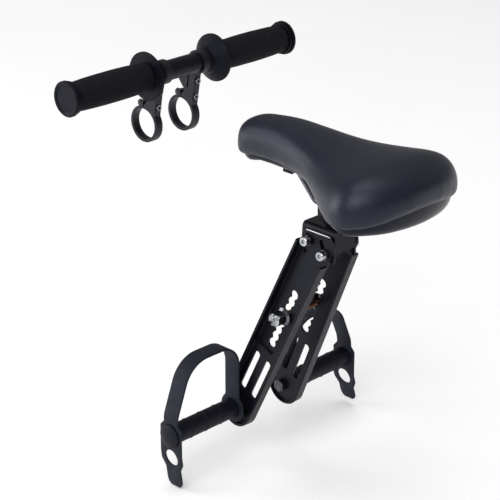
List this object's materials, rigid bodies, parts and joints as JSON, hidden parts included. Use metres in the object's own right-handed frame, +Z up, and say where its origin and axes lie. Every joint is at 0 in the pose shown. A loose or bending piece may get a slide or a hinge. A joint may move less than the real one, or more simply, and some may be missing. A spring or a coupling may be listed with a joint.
{
  "type": "child bicycle seat with handlebar",
  "caption": "Child's saddle on a top-tube bracket with splayed stamped legs, foot pegs with straps, and a small handlebar that clamps on the bicycle's bar.",
  "frame": {"origin": "on the axis of the bicycle's top tube, below the middle of the seat bracket", "axes": "+X forward along the top tube, +Y to the rider's left, +Z up"},
  "size_m": [0.4005, 0.326, 0.4458],
  "materials": {
    "vinyl": "satin",
    "base_plastic": "gloss",
    "chrome": "polished",
    "black_paint": "satin",
    "dark_steel": "satin",
    "yellow_zinc": "bright",
    "rubber": "matt",
    "guard_rubber": "satin",
    "foam": "matt",
    "nylon": "satin"
  },
  "bodies": {
    "root": {"saddle_cover": "vinyl", "saddle_base": "base_plastic", "saddle_rail_left": "chrome", "saddle_rail_right": "chrome", "leg_bolts": "chrome", "cross_nut": "chrome", "clamp_screws": "chrome", "seat_bracket": "black_paint", "rail_clamp_lower": "black_paint", "rail_clamp_upper": "black_paint", "bar_tube": "black_paint", "leg_left": "black_paint", "leg_right": "black_paint", "cup_washer_left": "black_paint", "cup_washer_right": "black_paint", "leg_washers": "dark_steel", "leg_spring_washers": "dark_steel", "leg_nuts": "dark_steel", "rail_clamp_bolt": "dark_steel", "rail_clamp_nut": "dark_steel", "clamp_nuts": "dark_steel", "peg_bolt_left": "dark_steel", "peg_bolt_right": "dark_steel", "cross_bolt": "yellow_zinc", "tube_pad": "rubber", "foot_peg_left": "rubber", "foot_peg_right": "rubber", "foot_strap_left": "rubber", "foot_strap_right": "rubber", "hand_guard_left": "guard_rubber", "hand_guard_right": "guard_rubber", "end_cap_left": "guard_rubber", "end_cap_right": "guard_rubber", "grip_left": "foam", "grip_right": "foam", "bar_stay_left": "nylon", "bar_stay_right": "nylon", "clamp_cap_left": "nylon", "clamp_cap_right": "nylon"}
  },
  "joints": []
}
